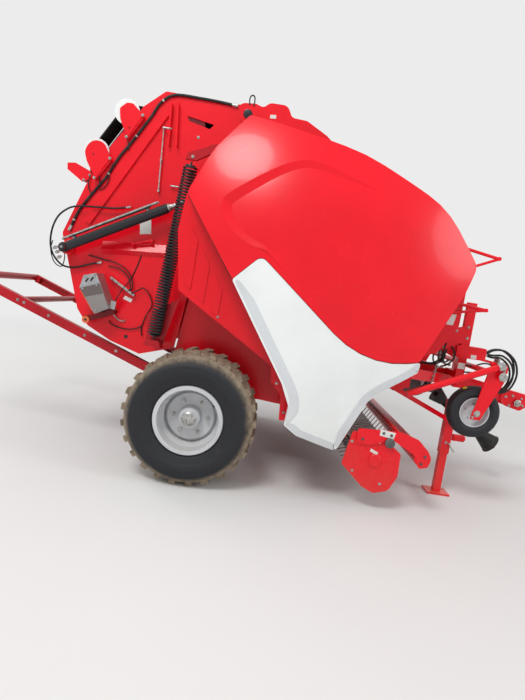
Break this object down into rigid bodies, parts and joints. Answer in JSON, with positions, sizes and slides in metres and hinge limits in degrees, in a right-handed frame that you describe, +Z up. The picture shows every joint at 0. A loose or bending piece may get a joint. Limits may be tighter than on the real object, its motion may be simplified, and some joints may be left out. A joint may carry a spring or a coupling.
{
  "type": "round baler",
  "caption": "Towed round baler with a belt chamber: side covers, lifting tailgate with cylinders, tined pickup, feed rotor, bale kicker, jack, hitch ring and wheels.",
  "frame": {"origin": "on the ground, below the middle of the machine's whole length and width", "axes": "+X forward to the hitch, +Y to the machine's left, +Z up"},
  "size_m": [5.3999, 2.4974, 2.755],
  "materials": {
    "red_paint": "gloss red paint, dusty",
    "dark_red_paint": "red paint on frame tubes",
    "white_paint": "gloss off-white panel",
    "bare_steel": "worn steel",
    "galvanised": "galvanised sheet",
    "silver_paint": "silver wheel paint",
    "black_paint": "satin black",
    "rubber": "black rubber",
    "tyre_rubber": "dusty tyre",
    "lamp_plastic": "red and orange lenses",
    "black_plastic": "matte black guard"
  },
  "bodies": {
    "frame": {"axle_beam": "dark_red_paint", "side_frames": "red_paint", "crossmembers": "dark_red_paint", "front_rollers": "bare_steel", "front_belts": "rubber", "feed_floor": "dark_red_paint", "side_drives": "bare_steel", "gearbox": "bare_steel", "drawbar": "red_paint", "hitch_eye": "bare_steel", "mast": "red_paint", "hose_bundle": "rubber", "net_box": "dark_red_paint", "wings": "red_paint", "gauge_arms": "red_paint", "guard_rails": "red_paint", "cylinder_brackets": "red_paint"},
    "feed_rotor": {"feed_rotor": "bare_steel"},
    "net_lid": {"net_lid": "red_paint"},
    "cover_right": {"cover_right": "red_paint", "lower_panel_right": "white_paint"},
    "cover_left": {"cover_left": "red_paint", "lower_panel_left": "white_paint"},
    "tailgate": {"tailgate_sides": "red_paint", "tailgate_crossmembers": "dark_red_paint", "tailgate_rollers": "bare_steel", "tailgate_belts": "rubber", "tailgate_fittings": "red_paint", "roller_discs": "white_paint", "deflector": "red_paint", "lamp_boxes": "galvanised", "lamps": "lamp_plastic", "springs": "black_paint", "spring_levers": "dark_red_paint", "tailgate_hoses": "rubber"},
    "barrel_right": {"cylinder_barrel_right": "black_paint"},
    "barrel_left": {"cylinder_barrel_left": "black_paint"},
    "rod_right": {"cylinder_rod_right": "bare_steel"},
    "rod_left": {"cylinder_rod_left": "bare_steel"},
    "wheel_right": {"tyre_right": "tyre_rubber", "rim_right": "silver_paint"},
    "wheel_left": {"tyre_left": "tyre_rubber", "rim_left": "silver_paint"},
    "pickup": {"pickup_frame": "red_paint", "pickup_bands": "bare_steel"},
    "pickup_reel": {"pickup_reel": "bare_steel"},
    "crop_press": {"crop_press": "red_paint"},
    "gauge_wheel_right": {"gauge_tyre_right": "tyre_rubber", "gauge_rim_right": "silver_paint"},
    "gauge_wheel_left": {"gauge_tyre_left": "tyre_rubber", "gauge_rim_left": "silver_paint"},
    "jack_leg": {"jack_leg": "red_paint"},
    "kicker": {"kicker": "dark_red_paint"},
    "pto_shaft": {"pto_shaft": "black_plastic"}
  },
  "joints": [
    {"name": "wheel_right_spin", "type": "hinge", "parent": "frame", "child": "wheel_right", "pos_m": [-0.75, -1, 0.46], "axis": [0, 1, 0], "continuous": true},
    {"name": "wheel_left_spin", "type": "hinge", "parent": "frame", "child": "wheel_left", "pos_m": [-0.75, 1, 0.46], "axis": [0, 1, 0], "continuous": true},
    {"name": "feed_rotor_spin", "type": "hinge", "parent": "frame", "child": "feed_rotor", "pos_m": [0.15, 0, 0.72], "axis": [0, 1, 0], "continuous": true},
    {"name": "pickup_lift", "type": "hinge", "parent": "frame", "child": "pickup", "pos_m": [0.05, 0, 0.64], "axis": [0, -1, 0], "range_deg": [-11, 6]},
    {"name": "pickup_reel_spin", "type": "hinge", "parent": "pickup", "child": "pickup_reel", "pos_m": [0.55, 0, 0.36], "axis": [0, 1, 0], "continuous": true},
    {"name": "crop_press_lift", "type": "hinge", "parent": "pickup", "child": "crop_press", "pos_m": [0.44, 0, 0.5], "axis": [0, -1, 0], "range_deg": [0, 18]},
    {"name": "tailgate_lift", "type": "hinge", "parent": "frame", "child": "tailgate", "pos_m": [-0.685, 0, 2.64], "axis": [0, 1, 0], "range_deg": [0, 55]},
    {"name": "cylinder_right_swing", "type": "hinge", "parent": "tailgate", "child": "barrel_right", "pos_m": [-1.875, -0.762, 1.49], "axis": [0, 1, 0], "range_deg": [0, 8.55]},
    {"name": "cylinder_right_slide", "type": "slide", "parent": "barrel_right", "child": "rod_right", "axis": [0.88, 0, 0.4749], "range_m": [0, 0.6061]},
    {"name": "cylinder_left_swing", "type": "hinge", "parent": "tailgate", "child": "barrel_left", "pos_m": [-1.875, 0.762, 1.49], "axis": [0, 1, 0], "range_deg": [0, 8.55]},
    {"name": "cylinder_left_slide", "type": "slide", "parent": "barrel_left", "child": "rod_left", "axis": [0.88, 0, 0.4749], "range_m": [0, 0.6061]},
    {"name": "cover_right_lift", "type": "hinge", "parent": "frame", "child": "cover_right", "pos_m": [-0.05, -0.735, 2.4], "axis": [-1, 0, 0], "range_deg": [0, 60]},
    {"name": "cover_left_lift", "type": "hinge", "parent": "frame", "child": "cover_left", "pos_m": [-0.05, 0.735, 2.4], "axis": [1, 0, 0], "range_deg": [0, 60]},
    {"name": "net_lid_lift", "type": "hinge", "parent": "frame", "child": "net_lid", "pos_m": [0.56, 0, 2.168], "axis": [0, -1, 0], "range_deg": [0, 60]},
    {"name": "gauge_wheel_right_spin", "type": "hinge", "parent": "frame", "child": "gauge_wheel_right", "pos_m": [1.28, -0.8, 0.745], "axis": [0, 1, 0], "continuous": true},
    {"name": "gauge_wheel_left_spin", "type": "hinge", "parent": "frame", "child": "gauge_wheel_left", "pos_m": [1.28, 0.8, 0.745], "axis": [0, 1, 0], "continuous": true},
    {"name": "jack_slide", "type": "slide", "parent": "frame", "child": "jack_leg", "axis": [0, 0, 1], "range_m": [0, 0.3]},
    {"name": "kicker_swing", "type": "hinge", "parent": "frame", "child": "kicker", "pos_m": [-1, 0, 0.6], "axis": [0, -1, 0], "range_deg": [0, 36]},
    {"name": "pto_swing", "type": "hinge", "parent": "frame", "child": "pto_shaft", "pos_m": [1.21, 0, 0.76], "axis": [0, -1, 0], "range_deg": [0, 18]}
  ],
  "couplings": [
    {"joint": "cylinder_right_swing", "follows": "tailgate_lift", "ratio": 0.14641},
    {"joint": "cylinder_right_slide", "follows": "tailgate_lift", "m_per_rad": 0.62936},
    {"joint": "cylinder_left_swing", "follows": "tailgate_lift", "ratio": 0.14641},
    {"joint": "cylinder_left_slide", "follows": "tailgate_lift", "m_per_rad": 0.62936}
  ]
}
